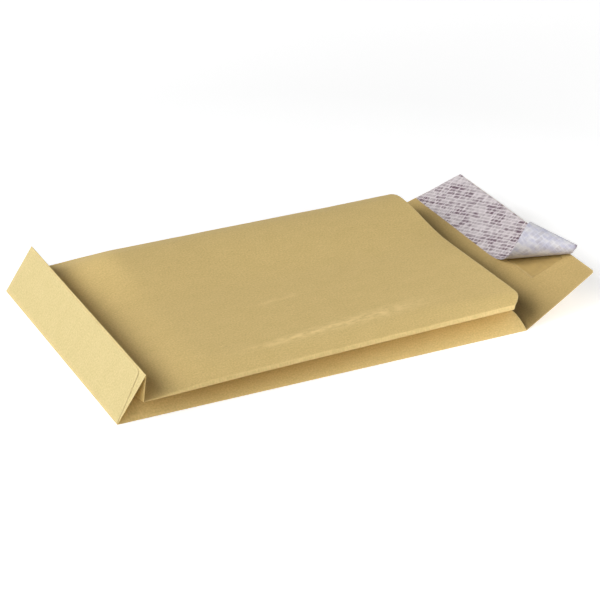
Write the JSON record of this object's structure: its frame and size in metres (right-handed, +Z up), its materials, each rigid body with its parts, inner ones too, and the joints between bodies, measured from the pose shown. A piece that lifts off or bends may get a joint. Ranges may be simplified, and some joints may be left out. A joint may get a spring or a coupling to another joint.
{
  "type": "gusseted envelope",
  "caption": "Kraft paper envelope with side gussets, a folded block bottom and a peel-and-seal flap whose release liner is partly peeled back.",
  "frame": {"origin": "centre of the back panel's underside, which lies on the surface", "axes": "+X along the envelope towards the mouth and flap, +Y across it, +Z up out of the front panel"},
  "size_m": [0.3935, 0.232, 0.0495],
  "materials": {
    "kraft_paper": "matt manila kraft with a fine lengthways grain",
    "adhesive": "clear satin film",
    "release_paper": "satin, printed on its outer side"
  },
  "bodies": {
    "root": {"envelope_body": "kraft_paper", "adhesive_strip": "adhesive", "release_liner": "release_paper"}
  },
  "joints": []
}
